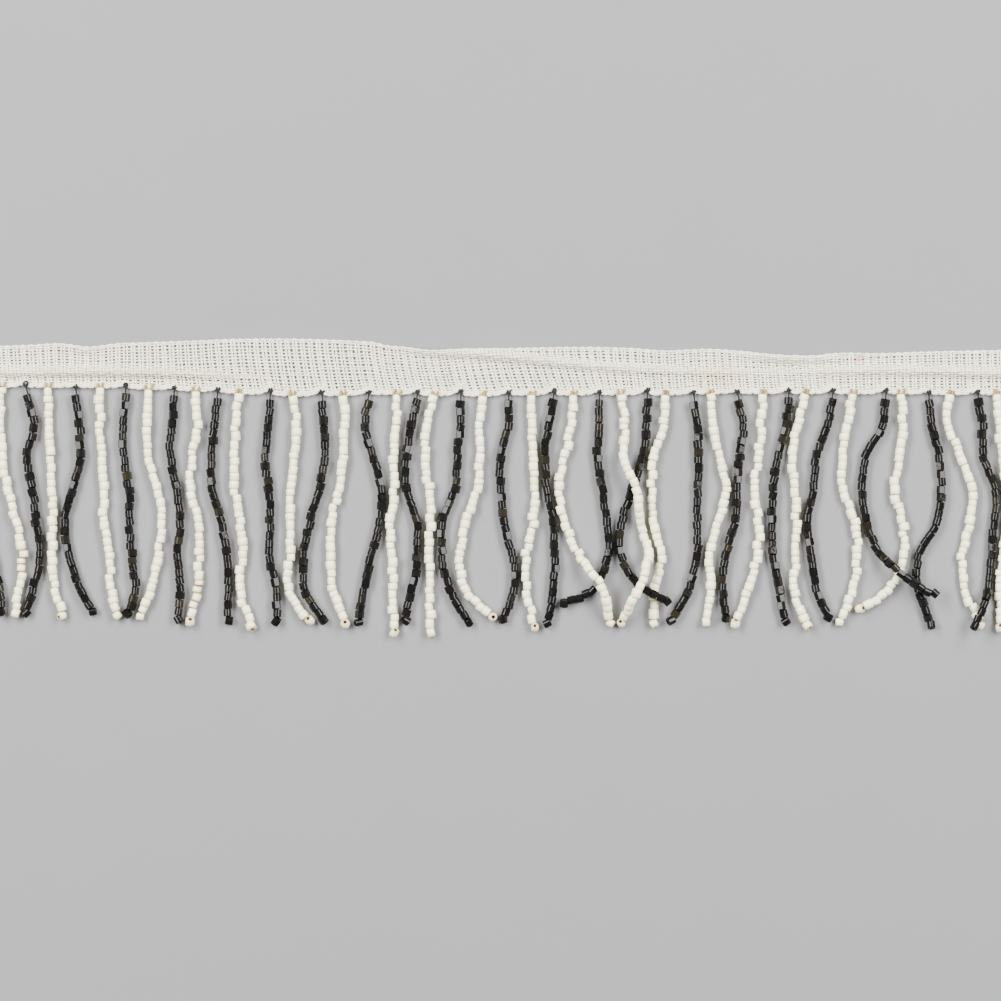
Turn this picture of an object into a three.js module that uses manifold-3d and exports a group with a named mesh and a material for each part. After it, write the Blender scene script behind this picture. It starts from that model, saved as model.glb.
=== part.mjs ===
// Beaded fringe trim: a narrow gauze tape with strands of white and black beads sewn along its lower edge.
// Millimetres, +Z up. The trim lies flat on its back: +X runs along the tape, the strands point towards -Y.
// A "drop" is a distance below the reference line where the strands begin, so the tape has negative drops.
import * as THREE from 'three';
import Module from 'manifold-3d';

const wasm = await Module();
wasm.setup();

// Driving dimensions
const LENGTH = 225; // cut length of the trim
const GAP = 0.3; // space between neighbouring pieces
const TAPE_THICK = 1.2; // gauze, measured straight up
const TAPE_BAYS = 9; // faces across the tape
const FOLD_HALF = 1.7; // half the width of a soft fold in the tape
const STRIP_WIDTH = 0.8; // each sewing strip, along the tape's lower edge
const STRIP_PARTED = 0.55; // from the tape's edge, so that the gap holds on its slanted stretches too
const LOWER_STRIP_TOP = 0.7; // the strip that holds the black strands, on the floor
const UPPER_STRIP_TOP = 1.8; // the strip that holds the white strands, above it
const STRAND = 1.8; // side of a strand's square section, as full as a bead 2 mm across
const STRAND_STEPS = 14; // lengths in a strand that lies flat
const CROSSING_STEPS = 34; // lengths in a strand that rides over another
const WHITE_NECK = 1.2; // width of the stitches above the first white bead
const STITCHES = 0.6; // their length below the tape's edge
const BLACK_NECK = 0.7; // width of the bare thread above the first black bead
const BARE_THREAD = 1.6; // its length below the tape's edge
const NECK_LAP = 0.5; // how far a neck reaches into its strip and its strand
const PINCH_LEFT = 3.4; // how far the tape's edge is drawn up to the left of a black strand
const PINCH_RIGHT = 1.0; // and to its right

const table = (columns, rows) => rows.map(
  (row) => Object.fromEntries(columns.map((column, place) => [column, row[place]])),
);

// Upper edge of the tape, from the left end to the right
const UPPER_EDGE = table(['x', 'drop'], [
  [-112.5, -9.2], [-105, -9.35], [-98, -9.6], [-92, -9.85], [-90, -9.6], [-87, -9.15], [-84, -9.4],
  [-81, -9.85], [-75, -10.1], [-65, -10.45], [-55, -10.85], [-47, -10.9], [-36, -10.7], [-30, -10.4],
  [-27, -10.2], [-24, -9.5], [-20, -9.1], [-15, -8.45], [-10, -8.6], [0, -8.85], [6, -9], [23, -9.05],
  [28, -8.85], [34, -8.4], [44, -8.7], [50, -8.3], [56, -7.6], [62, -7.25], [67, -7.35], [69, -7.65],
  [80, -7.8], [90, -8.15], [101, -8.4], [112.5, -8.5],
]);

// Soft folds in the tape: the crest's course and its height above the lie of the cloth
const FOLD_COLUMNS = ['x', 'crest', 'rise'];
const FOLDS = {
  left: table(FOLD_COLUMNS, [
    [-112.5, -3.8, 1.3], [-100, -3.9, 1.4], [-85, -4, 1.5], [-70, -3.8, 1.3], [-58, -3.2, 0.7],
    [-48, -2.6, 0],
  ]),
  leftDip: table(FOLD_COLUMNS, [[-94, -9.4, 0], [-87, -8.8, 0.9], [-80, -9.4, 0]]),
  diagonal: table(FOLD_COLUMNS, [
    [-26, -9.8, 0], [-15, -8.3, 1.3], [-5, -7.8, 1.5], [5, -6.9, 1.5], [15, -5.7, 1.4], [25, -4.8, 1.2],
    [35, -4.3, 1], [46, -3.9, 0.6], [58, -3.9, 0],
  ]),
  rightDip: table(FOLD_COLUMNS, [
    [48, -7.8, 0], [56, -7.1, 1.2], [62, -6.7, 1.4], [67, -6.8, 0.9], [73, -7, 0],
  ]),
  right: table(FOLD_COLUMNS, [
    [58, -3.9, 0], [70, -4.1, 1], [80, -4.3, 1.3], [90, -4.2, 1.4], [100, -3.8, 1.4], [112.5, -3.6, 1.3],
  ]),
};

// Each strand: its root along the tape, the drop of the tape's edge there, its place along the tape
// at six drops, and the place and drop of its tip
const WAYPOINT_DROPS = { at7: 7, at14: 14, at21: 21, at28: 28, at35: 35, at42: 42 };
const STRAND_COLUMNS = ['name', 'root', 'edge', ...Object.keys(WAYPOINT_DROPS), 'tip', 'tipDrop'];
const WHITE_STRANDS = table(STRAND_COLUMNS, [
  ['W0', -104.9, -0.7, -105.2, -104.4, -103.5, -101.6, -100.4, -101.1, -102, 46.9],
  ['W1', -95, -0.6, -94.95, -94.6, -94.2, -94.05, -94.2, -93.4, -92, 47.4],
  ['W2', -84.1, -0.55, -84.1, -83.75, -83.3, -83.2, -82.2, -81.9, -80.6, 47.4],
  ['W3', -74, -0.2, -74.2, -74, -71.9, -71.1, -72, -73.4, -75.7, 47.6],
  ['W4', -64.1, 0.2, -63.7, -64.7, -65.1, -63.4, -63.3, -63.6, -65.5, 48.6],
  ['W5', -54.9, 0.7, -55.8, -55.9, -55.8, -54.6, -54.2, -54.8, -52.4, 49.7],
  ['W6', -43.7, 1.2, -42.9, -43.3, -44.2, -44.2, -44.2, -44.6, -40.2, 48.5],
  ['W7', -33.2, 1.1, -32.8, -32.9, -34.1, -35.5, -35.7, -35.1, -32.3, 49],
  ['W8', -21.9, 0.85, -22, -22.3, -22.4, -23.1, -23, -22.5, -22.4, 51],
  ['W9', -13.9, 1.1, -15.4, -15.95, -15, -14.8, -14.95, -14.9, -14.5, 51],
  ['W10', -3.8, 1.2, -4.4, -4.3, -5.1, -7.25, -8.5, -7.5, -1.6, 47.7],
  ['W11', 6.5, 1, 6.6, 6.8, 7.2, 6.75, 5.4, 5.5, 7.3, 49.9],
  ['W12', 15.2, 1, 15, 13.45, 12.3, 13.6, 16.8, 21.5, 22.9, 49],
  ['W13', 25.2, 0.95, 26.1, 25.9, 28.2, 29.5, 30.85, 28.8, 25.3, 49],
  ['W14', 34.7, 1, 34.1, 32.2, 31.7, 32.2, 33.7, 32.4, 32.2, 49],
  ['W15', 44, 0.7, 44.7, 46, 47.4, 45.6, 43.8, 44.25, 43.2, 48.8],
  ['W16', 55.1, 0.7, 54.7, 54.2, 53.35, 54.2, 53.9, 52.05, 49.6, 49.2],
  ['W17', 64, 0.7, 62.5, 61.2, 61.9, 62.05, 61.95, 61.8, 64.4, 49.5],
  ['W18', 73.95, 0.75, 72.9, 71.7, 71.95, 74.4, 74.9, 73.75, 71.3, 48.8],
  ['W19', 84, 0.75, 84.6, 83.8, 82.9, 84.4, 84.7, 81.4, 75.5, 46],
  ['W20', 94.3, 0.9, 93.95, 96.7, 98.95, 98.5, 96.9, 97.6, 101, 49.3],
  ['W21', 104.1, 0.9, 104.7, 105.4, 106.3, 106.25, 105.6, 104.7, 105, 50],
]);
const BLACK_STRANDS = table(STRAND_COLUMNS, [
  ['B0', -109.8, -1, -109, -108.5, -108.6, -108, -106.8, -105.3, -104.8, 46.6],
  ['B1', -99.7, -1.2, -98, -99.4, -98.3, -97.5, -96.7, -98.2, -99.7, 46.8],
  ['B2', -89.2, -0.75, -88.5, -88.2, -89.9, -91.6, -90.5, -88.2, -85.6, 46.6],
  ['B3', -78.7, -1, -79.2, -79.2, -78.1, -77.9, -77.4, -76.7, -78.2, 47],
  ['B4', -68.5, -0.55, -69, -69.4, -67.9, -67.2, -67.9, -67.4, -67.9, 48.2],
  ['B5', -59.4, -0.15, -60, -60.7, -60.5, -58.5, -57.3, -57.2, -57.1, 48.5],
  ['B6', -48.3, 0, -48.8, -49.4, -48.8, -48.3, -48.5, -47.1, -47, 48.6],
  ['B7', -37.5, 0.3, -37, -36.9, -38, -40.1, -41.4, -41.2, -37.3, 48.4],
  ['B8', -27.6, 0.3, -28.6, -26.8, -25, -25.4, -27.2, -28.8, -29.9, 48.8],
  ['B9', -17.4, 0.3, -18.7, -19.8, -19.8, -17.5, -17.5, -18.6, -20.1, 48.4],
  ['B10', -8.3, 0.1, -8.5, -9, -9.7, -12.3, -12.3, -10.7, -6.8, 48.9],
  ['B11', 1.7, 0.4, 1.6, 0.1, 0.1, 0.9, 2.55, 2.8, 0.6, 48.2],
  ['B12', 11.3, 0.05, 10.2, 9.3, 9.8, 11.2, 11.4, 11, 9.8, 49],
  ['B13', 20.8, 0.25, 20.6, 20.4, 21.4, 22.35, 22.5, 19.4, 13.3, 44.8],
  ['B14', 30.9, -0.05, 30.5, 29.8, 27.6, 25.4, 25.3, 30.3, 35, 44.2],
  ['B15', 40.6, 0.3, 41.3, 41.5, 41.35, 41.4, 41.3, 39.5, 35.8, 48.4],
  ['B16', 49.8, 0.2, 51.1, 50.1, 49.7, 49.2, 47.2, 46.75, 47.3, 47.9],
  ['B17', 60.6, -0.1, 60.1, 58.3, 57.3, 57, 57.4, 58.5, 60, 48.6],
  ['B18', 69.9, -0.1, 68.7, 66.4, 65.6, 64.3, 65.3, 66.4, 68.9, 47.7],
  ['B19', 81, -0.1, 80.4, 76.8, 76, 76.9, 80.2, 88.7, 91, 42.9],
  ['B20', 90, 0.35, 90.5, 92.1, 92.6, 91.5, 87.75, 87.9, 90.5, 49.4],
  ['B21', 100.2, 0.2, 101.2, 101.4, 104, 103.7, 103.1, 102.3, 99.5, 49.5],
  ['B22', 109.6, 0.2, 109.9, 109.4, 109.2, 109.6, 109.3, 108.6, 108.9, 48.9],
]);

// Where a strand rides over its neighbour: the crossing's place, the half length that lies on top,
// the length of the ramp on each side, and how high the strand is lifted
const CROSSINGS = table(['name', 'x', 'drop', 'flat', 'ramp', 'lift'], [
  ['W12', 20.4, 40.9, 2.6, 5.5, 2.2],
  ['W13', 28, 20.2, 3.6, 6, 2.2],
  ['W13', 29, 41.2, 2.4, 6.5, 4],
  ['B14', 32.5, 43, 1.7, 2.7, 2.2],
  ['B19', 85.9, 39.9, 4.5, 5, 2.3],
  ['B21', 100.3, 48, 2.8, 5, 2.2],
]);

const clamp = THREE.MathUtils.clamp;
const easeFrom = (share) => 0.5 * (1 + Math.cos(Math.PI * clamp(share, 0, 1)));

// A column of a table, read in a straight line between its rows
function readAlong(rows, x, column, place = 'x') {
  const next = rows.findIndex((row) => row[place] >= x);
  if (next === 0) return rows[0][column];
  if (next < 0) return rows[rows.length - 1][column];
  const share = (x - rows[next - 1][place]) / (rows[next][place] - rows[next - 1][place]);
  return THREE.MathUtils.lerp(rows[next - 1][column], rows[next][column], share);
}

const upperEdge = (x) => readAlong(UPPER_EDGE, x, 'drop');

// The lower edge runs from one white strand's root to the next and is drawn up at each black one
function lowerEdge(x) {
  const hang = readAlong(WHITE_STRANDS, x, 'edge', 'root');
  return BLACK_STRANDS.reduce((edge, strand) => {
    const reach = x < strand.root ? PINCH_LEFT : PINCH_RIGHT;
    const depth = readAlong(WHITE_STRANDS, strand.root, 'edge', 'root') - strand.edge;
    return edge - depth * easeFrom(Math.abs(x - strand.root) / reach);
  }, hang);
}

function foldHeight(x, drop) {
  return Object.values(FOLDS).reduce((height, fold) => {
    const outside = x < fold[0].x || x > fold[fold.length - 1].x;
    if (outside) return height;
    const across = Math.abs(drop - readAlong(fold, x, 'crest')) / FOLD_HALF;
    return height + readAlong(fold, x, 'rise') * easeFrom(across);
  }, 0);
}

// Skins a row of rings into a closed solid. Each ring goes anticlockwise as seen from the far end,
// its first half below and its second half above, so the end faces pair its points across.
function loft(rings) {
  const count = rings[0].length;
  const index = [];
  const quad = (a, b, c, d) => index.push(a, b, c, a, c, d);
  for (let ring = 0; ring + 1 < rings.length; ring += 1) {
    const near = ring * count;
    const far = near + count;
    for (let side = 0; side < count; side += 1) {
      const next = (side + 1) % count;
      quad(near + side, near + next, far + next, far + side);
    }
  }
  const last = (rings.length - 1) * count;
  for (let side = 0; side + 1 < count / 2; side += 1) {
    const across = count - 1 - side;
    quad(side, across, across - 1, side + 1);
    quad(last + side, last + side + 1, last + across - 1, last + across);
  }
  const geometry = new THREE.BufferGeometry().setFromPoints(rings.flat());
  return geometry.setIndex(index);
}

const toSolid = (geometry) => new wasm.Manifold(new wasm.Mesh({
  numProp: 3,
  vertProperties: new Float32Array(geometry.getAttribute('position').array),
  triVerts: new Uint32Array(geometry.getIndex().array),
}));

function toGeometry(solid) {
  const { vertProperties, triVerts } = solid.getMesh();
  const geometry = new THREE.BufferGeometry();
  geometry.setAttribute('position', new THREE.BufferAttribute(vertProperties, 3));
  geometry.setIndex(new THREE.BufferAttribute(triVerts, 1));
  return geometry;
}

// Places along the tape where its lower edge turns
function edgeStations() {
  const roots = WHITE_STRANDS.map((strand) => strand.root);
  const pinches = BLACK_STRANDS.flatMap(
    ({ root }) => [root - PINCH_LEFT, root, root + PINCH_RIGHT],
  );
  const inside = [...roots, ...pinches].filter((x) => Math.abs(x) < LENGTH / 2 - GAP);
  return [-LENGTH / 2, ...inside.sort((a, b) => a - b), LENGTH / 2];
}

function tapeGeometry() {
  return loft(edgeStations().map((x) => {
    const low = lowerEdge(x) - STRIP_WIDTH - STRIP_PARTED;
    const high = upperEdge(x);
    const underside = Array.from({ length: TAPE_BAYS + 1 }, (_, bay) => {
      const drop = THREE.MathUtils.lerp(low, high, bay / TAPE_BAYS);
      return new THREE.Vector3(x, -drop, foldHeight(x, drop));
    });
    const face = underside.map((point) => point.clone().setZ(point.z + TAPE_THICK));
    return [...underside, ...face.reverse()];
  }));
}

// A strip along the tape's lower edge, between two heights
function sewingStrip(bottom, top) {
  return loft(edgeStations().map((x) => {
    const low = -lowerEdge(x);
    const high = low + STRIP_WIDTH;
    return [
      new THREE.Vector3(x, low, bottom),
      new THREE.Vector3(x, high, bottom),
      new THREE.Vector3(x, high, top),
      new THREE.Vector3(x, low, top),
    ];
  }));
}

// A bar of square section along a path, with its sides upright and its underside level across
function bar(path, width, height) {
  const up = new THREE.Vector3(0, 0, 1);
  return loft(path.map((point, place) => {
    const before = path[Math.max(place - 1, 0)];
    const after = path[Math.min(place + 1, path.length - 1)];
    const ahead = after.clone().sub(before).setZ(0).normalize();
    const side = up.clone().cross(ahead).multiplyScalar(width / 2);
    const left = point.clone().sub(side);
    const right = point.clone().add(side);
    const rise = up.clone().multiplyScalar(height);
    return [left, right, right.clone().add(rise), left.clone().add(rise)];
  }));
}

function liftAt(name, x, drop) {
  return CROSSINGS.filter((crossing) => crossing.name === name).reduce((lift, crossing) => {
    const away = Math.hypot(x - crossing.x, drop - crossing.drop);
    return Math.max(lift, crossing.lift * easeFrom((away - crossing.flat) / crossing.ramp));
  }, 0);
}

// The underside's middle line, from the first bead to the tip
function strandPath(strand, startDrop) {
  const waypoints = [
    [strand.root, startDrop],
    ...Object.entries(WAYPOINT_DROPS).map(([column, drop]) => [strand[column], drop]),
    [strand.tip, strand.tipDrop],
  ];
  const curve = new THREE.CatmullRomCurve3(waypoints.map(([x, drop]) => new THREE.Vector3(x, -drop, 0)));
  const crosses = CROSSINGS.some((crossing) => crossing.name === strand.name);
  const points = curve.getSpacedPoints(crosses ? CROSSING_STEPS : STRAND_STEPS);
  return points.map((point) => point.setZ(liftAt(strand.name, point.x, -point.y)));
}

// One strand and the neck that joins it to its strip
function strandSolid(strand, startDrop, neckWidth, neckBottom, neckTop) {
  const path = strandPath(strand, startDrop);
  const neck = [strand.edge - NECK_LAP, startDrop + NECK_LAP].map(
    (drop) => new THREE.Vector3(strand.root, -drop, neckBottom),
  );
  const body = toSolid(bar(path, STRAND, STRAND));
  return body.add(toSolid(bar(neck, neckWidth, neckTop - neckBottom)));
}

function whiteFringe() {
  const bottom = LOWER_STRIP_TOP + GAP;
  const strip = toSolid(sewingStrip(bottom, UPPER_STRIP_TOP));
  return toGeometry(WHITE_STRANDS.reduce((fringe, strand) => {
    const start = strand.edge + STITCHES;
    return fringe.add(strandSolid(strand, start, WHITE_NECK, bottom, UPPER_STRIP_TOP));
  }, strip));
}

function blackFringe() {
  const strip = toSolid(sewingStrip(0, LOWER_STRIP_TOP));
  return toGeometry(BLACK_STRANDS.reduce((fringe, strand) => {
    const start = strand.edge + BARE_THREAD;
    return fringe.add(strandSolid(strand, start, BLACK_NECK, 0, LOWER_STRIP_TOP));
  }, strip));
}

function piece(name, geometry, color, roughness) {
  geometry.computeVertexNormals();
  const material = new THREE.MeshStandardMaterial({ color, roughness, metalness: 0, flatShading: true });
  const mesh = new THREE.Mesh(geometry, material);
  mesh.name = name;
  return mesh;
}

const trim = new THREE.Group();
trim.add(
  piece('tape', tapeGeometry(), '#e6e2d8', 0.9),
  piece('white_fringe', whiteFringe(), '#efe9dc', 0.35),
  piece('black_fringe', blackFringe(), '#14110f', 0.12),
);

// The origin is at the middle of the trim's footprint, on the floor
const footprint = new THREE.Box3().setFromObject(trim);
const middle = footprint.getCenter(new THREE.Vector3());
trim.position.set(-middle.x, -middle.y, -footprint.min.z);

export default trim;
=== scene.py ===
"""Looks of a beaded fringe trim: woven gauze tape, ivory and black cut beads, and their sewing."""
import math

import bpy
import numpy as np
from bpy.props import FloatProperty, FloatVectorProperty, IntProperty, PointerProperty
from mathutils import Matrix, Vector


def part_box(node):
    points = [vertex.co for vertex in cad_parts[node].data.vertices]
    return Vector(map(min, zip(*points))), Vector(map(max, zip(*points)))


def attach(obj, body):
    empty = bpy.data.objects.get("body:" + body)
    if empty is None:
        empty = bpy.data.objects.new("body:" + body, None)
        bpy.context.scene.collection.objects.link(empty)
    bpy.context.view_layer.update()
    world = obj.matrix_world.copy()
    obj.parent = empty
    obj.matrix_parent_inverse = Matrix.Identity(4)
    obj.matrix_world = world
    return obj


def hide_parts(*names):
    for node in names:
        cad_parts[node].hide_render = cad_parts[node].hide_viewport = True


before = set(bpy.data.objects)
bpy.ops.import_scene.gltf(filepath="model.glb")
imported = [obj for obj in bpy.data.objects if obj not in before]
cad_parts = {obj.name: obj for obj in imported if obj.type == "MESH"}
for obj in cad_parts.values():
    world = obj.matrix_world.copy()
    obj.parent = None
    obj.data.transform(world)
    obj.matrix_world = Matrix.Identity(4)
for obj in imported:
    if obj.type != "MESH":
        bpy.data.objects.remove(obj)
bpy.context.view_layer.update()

bl_info = {
    "name": "Beaded Fringe Trim",
    "version": (1, 0, 0),
    "blender": (4, 5, 0),
    "location": "3D View > Sidebar > Trim",
    "description": "Weaves the tape, threads the beads and sews the edge of a beaded fringe trim",
    "category": "Object",
}

MM = 0.001

# Places below are millimetres along the tape and drops below the line where the strands begin,
# so drops on the tape are negative. The tape's highest point ties them to the frame.
UPPER_EDGE = np.array([
    # x, drop
    (-112.5, -9.2), (-105, -9.35), (-98, -9.6), (-92, -9.85), (-90, -9.6), (-87, -9.15), (-84, -9.4),
    (-81, -9.85), (-75, -10.1), (-65, -10.45), (-55, -10.85), (-47, -10.9), (-36, -10.7), (-30, -10.4),
    (-27, -10.2), (-24, -9.5), (-20, -9.1), (-15, -8.45), (-10, -8.6), (0, -8.85), (6, -9), (23, -9.05),
    (28, -8.85), (34, -8.4), (44, -8.7), (50, -8.3), (56, -7.6), (62, -7.25), (67, -7.35), (69, -7.65),
    (80, -7.8), (90, -8.15), (101, -8.4), (112.5, -8.5),
])
EDGE_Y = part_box("tape")[1].y / MM + UPPER_EDGE[:, 1].min()
HALF_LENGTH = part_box("tape")[1].x / MM

# Soft folds in the tape: x, drop of the crest, rise, half width of the doubled cloth
FOLDS = [
    [(-112.5, -3.8, 1.3, 0.7), (-100, -3.9, 1.4, 0.7), (-85, -4, 1.5, 0.65), (-70, -3.8, 1.3, 0.5),
     (-58, -3.2, 0.7, 0.35), (-48, -2.6, 0, 0.1)],
    [(-94, -9.4, 0, 0.1), (-87, -8.8, 0.9, 0.3), (-80, -9.4, 0, 0.1)],
    [(-26, -9.8, 0, 0.1), (-15, -8.3, 1.3, 0.9), (-5, -7.8, 1.5, 1.0), (5, -6.9, 1.5, 0.8),
     (15, -5.7, 1.4, 0.7), (25, -4.8, 1.2, 0.65), (35, -4.3, 1, 0.6), (46, -3.9, 0.6, 0.5),
     (58, -3.9, 0, 0.3)],
    [(48, -7.8, 0, 0.1), (56, -7.1, 1.2, 0.4), (62, -6.7, 1.4, 0.5), (67, -6.8, 0.9, 0.4),
     (73, -7, 0, 0.1)],
    [(58, -3.9, 0, 0.3), (70, -4.1, 1, 0.45), (80, -4.3, 1.3, 0.55), (90, -4.2, 1.4, 0.55),
     (100, -3.8, 1.4, 0.6), (112.5, -3.6, 1.3, 0.6)],
]
FOLD_HALF = 1.6
# The under layer of a fold: how much wider it is than in the table, and its faces below the tape's middle
DOUBLED_SPREAD = 1.35
UNDER_LAYER = (-0.16, -0.26)
# Height of the tape's middle where it lies flat, and the rise and the width of its lower lip
CLOTH_MIDDLE = 0.34
LIP_RISE = 0.35
LIP_WIDTH = 2.2
# How far to the left and to the right of a black strand the tape's lower edge is drawn up
PINCH_LEFT = 3.4
PINCH_RIGHT = 1.0
# Share of the tape's width that the black threads draw up with its edge
PINCH_SHARE = 0.32
# Extra points of a warp beside each black root, where the edge is drawn up
NOTCH_STATIONS = (-1.1, -0.5, -0.2, 0, 0.25, 0.5, 0.8)

# How far the lower end of a weft lies to the right of its upper end: x, lean
WEFT_LEAN = np.array([
    (-112.5, 1), (-100, 1), (-88, 0.2), (-75, 0.5), (-65, 1.2), (-50, 1.8), (-35, 2), (-20, 2.2),
    (-5, 2.6), (8, 3), (18, 2.4), (28, 1.2), (40, 0.8), (52, 0.8), (62, 1), (75, 0.3), (90, 0.3),
    (112.5, 0.5),
])
# Warps as shares of the tape's width from its lower edge: close ones, the open weave, and the uppermost
CLOSE_ROWS = (0.012, 0.033, 0.054, 0.075)
OPEN_WEAVE = (0.116, 0.934)
TOP_ROW = 0.974
# Where the wefts turn: the share at the lower edge, and how far the loops reach past the uppermost warp
LOWER_TURN = 0.006
UPPER_TURN = 0.004
# Chance wander of the warps, as a share of their spacing, and of the wefts in millimetres, at some knots
ROW_WANDER = 0.09
ROW_KNOTS = 70
PICK_WANDER = 0.035
PICK_KNOTS = 5
# How much wider a yarn is on top of a crossing
YARN_SWELL = 0.12

# Strands: name, root, drop of the tape's edge there, x at drops of 7 to 42 mm, x and drop of the tip
WAYPOINT_DROPS = (7, 14, 21, 28, 35, 42)
WHITE_STRANDS = [
    ("W0", -104.9, -0.7, -105.2, -104.4, -103.5, -101.6, -100.4, -101.1, -102, 46.9),
    ("W1", -95, -0.6, -94.95, -94.6, -94.2, -94.05, -94.2, -93.4, -92, 47.4),
    ("W2", -84.1, -0.55, -84.1, -83.75, -83.3, -83.2, -82.2, -81.9, -80.6, 47.4),
    ("W3", -74, -0.2, -74.2, -74, -71.9, -71.1, -72, -73.4, -75.7, 47.6),
    ("W4", -64.1, 0.2, -63.7, -64.7, -65.1, -63.4, -63.3, -63.6, -65.5, 48.6),
    ("W5", -54.9, 0.7, -55.8, -55.9, -55.8, -54.6, -54.2, -54.8, -52.4, 49.7),
    ("W6", -43.7, 1.2, -42.9, -43.3, -44.2, -44.2, -44.2, -44.6, -40.2, 48.5),
    ("W7", -33.2, 1.1, -32.8, -32.9, -34.1, -35.5, -35.7, -35.1, -32.3, 49),
    ("W8", -21.9, 0.85, -22, -22.3, -22.4, -23.1, -23, -22.5, -22.4, 51),
    ("W9", -13.9, 1.1, -15.4, -15.95, -15, -14.8, -14.95, -14.9, -14.5, 51),
    ("W10", -3.8, 1.2, -4.4, -4.3, -5.1, -7.25, -8.5, -7.5, -1.6, 47.7),
    ("W11", 6.5, 1, 6.6, 6.8, 7.2, 6.75, 5.4, 5.5, 7.3, 49.9),
    ("W12", 15.2, 1, 15, 13.45, 12.3, 13.6, 16.8, 21.5, 22.9, 49),
    ("W13", 25.2, 0.95, 26.1, 25.9, 28.2, 29.5, 30.85, 28.8, 25.3, 49),
    ("W14", 34.7, 1, 34.1, 32.2, 31.7, 32.2, 33.7, 32.4, 32.2, 49),
    ("W15", 44, 0.7, 44.7, 46, 47.4, 45.6, 43.8, 44.25, 43.2, 48.8),
    ("W16", 55.1, 0.7, 54.7, 54.2, 53.35, 54.2, 53.9, 52.05, 49.6, 49.2),
    ("W17", 64, 0.7, 62.5, 61.2, 61.9, 62.05, 61.95, 61.8, 64.4, 49.5),
    ("W18", 73.95, 0.75, 72.9, 71.7, 71.95, 74.4, 74.9, 73.75, 71.3, 48.8),
    ("W19", 84, 0.75, 84.6, 83.8, 82.9, 84.4, 84.7, 81.4, 75.5, 46),
    ("W20", 94.3, 0.9, 93.95, 96.7, 98.95, 98.5, 96.9, 97.6, 101, 49.3),
    ("W21", 104.1, 0.9, 104.7, 105.4, 106.3, 106.25, 105.6, 104.7, 105, 50),
]
BLACK_STRANDS = [
    ("B0", -109.8, -1, -109, -108.5, -108.6, -108, -106.8, -105.3, -104.8, 46.6),
    ("B1", -99.7, -1.2, -98, -99.4, -98.3, -97.5, -96.7, -98.2, -99.7, 46.8),
    ("B2", -89.2, -0.75, -88.5, -88.2, -89.9, -91.6, -90.5, -88.2, -85.6, 46.6),
    ("B3", -78.7, -1, -79.2, -79.2, -78.1, -77.9, -77.4, -76.7, -78.2, 47),
    ("B4", -68.5, -0.55, -69, -69.4, -67.9, -67.2, -67.9, -67.4, -67.9, 48.2),
    ("B5", -59.4, -0.15, -60, -60.7, -60.5, -58.5, -57.3, -57.2, -57.1, 48.5),
    ("B6", -48.3, 0, -48.8, -49.4, -48.8, -48.3, -48.5, -47.1, -47, 48.6),
    ("B7", -37.5, 0.3, -37, -36.9, -38, -40.1, -41.4, -41.2, -37.3, 48.4),
    ("B8", -27.6, 0.3, -28.6, -26.8, -25, -25.4, -27.2, -28.8, -29.9, 48.8),
    ("B9", -17.4, 0.3, -18.7, -19.8, -19.8, -17.5, -17.5, -18.6, -20.1, 48.4),
    ("B10", -8.3, 0.1, -8.5, -9, -9.7, -12.3, -12.3, -10.7, -6.8, 48.9),
    ("B11", 1.7, 0.4, 1.6, 0.1, 0.1, 0.9, 2.55, 2.8, 0.6, 48.2),
    ("B12", 11.3, 0.05, 10.2, 9.3, 9.8, 11.2, 11.4, 11, 9.8, 49),
    ("B13", 20.8, 0.25, 20.6, 20.4, 21.4, 22.35, 22.5, 19.4, 13.3, 44.8),
    ("B14", 30.9, -0.05, 30.5, 29.8, 27.6, 25.4, 25.3, 30.3, 35, 44.2),
    ("B15", 40.6, 0.3, 41.3, 41.5, 41.35, 41.4, 41.3, 39.5, 35.8, 48.4),
    ("B16", 49.8, 0.2, 51.1, 50.1, 49.7, 49.2, 47.2, 46.75, 47.3, 47.9),
    ("B17", 60.6, -0.1, 60.1, 58.3, 57.3, 57, 57.4, 58.5, 60, 48.6),
    ("B18", 69.9, -0.1, 68.7, 66.4, 65.6, 64.3, 65.3, 66.4, 68.9, 47.7),
    ("B19", 81, -0.1, 80.4, 76.8, 76, 76.9, 80.2, 88.7, 91, 42.9),
    ("B20", 90, 0.35, 90.5, 92.1, 92.6, 91.5, 87.75, 87.9, 90.5, 49.4),
    ("B21", 100.2, 0.2, 101.2, 101.4, 104, 103.7, 103.1, 102.3, 99.5, 49.5),
    ("B22", 109.6, 0.2, 109.9, 109.4, 109.2, 109.6, 109.3, 108.6, 108.9, 48.9),
]
# Where a strand rides over its neighbour: strand, x, drop, half length on top, ramp, lift
CROSSINGS = [
    ("W12", 20.4, 40.9, 2.6, 5.5, 2.2),
    ("W13", 28, 20.2, 3.6, 6, 2.2),
    ("W13", 29, 41.2, 2.4, 6.5, 4),
    ("B14", 32.5, 43, 1.7, 2.7, 2.2),
    ("B19", 85.9, 39.9, 4.5, 5, 2.3),
    ("B21", 100.3, 48, 2.8, 5, 2.2),
]
# How the last bead of each white strand is turned: heading of its hole in plan, and its rise, in degrees
STOP_BEADS = [
    (-20, 5), (205, 40), (40, 5), (-10, 0), (75, 50), (-65, 30), (130, 50), (95, 60), (60, 40), (15, 0),
    (0, 78), (90, 60), (-30, 10), (115, 60), (30, 0), (5, 0), (80, 30), (-50, 25), (0, 0), (15, 40),
    (60, 10), (90, 50),
]
# Points of a strand's curve from one waypoint to the next, then the millimetres between even points on it,
# and how many of these make one step of its thread
CURVE_STEPS = 80
STRAND_STEP = 0.1
THREAD_STRIDE = 12
# Range of the beads' lengths and girths about their means
BEAD_LENGTHS = (0.68, 1.36)
BEAD_GIRTHS = (0.9, 1.1)
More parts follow.
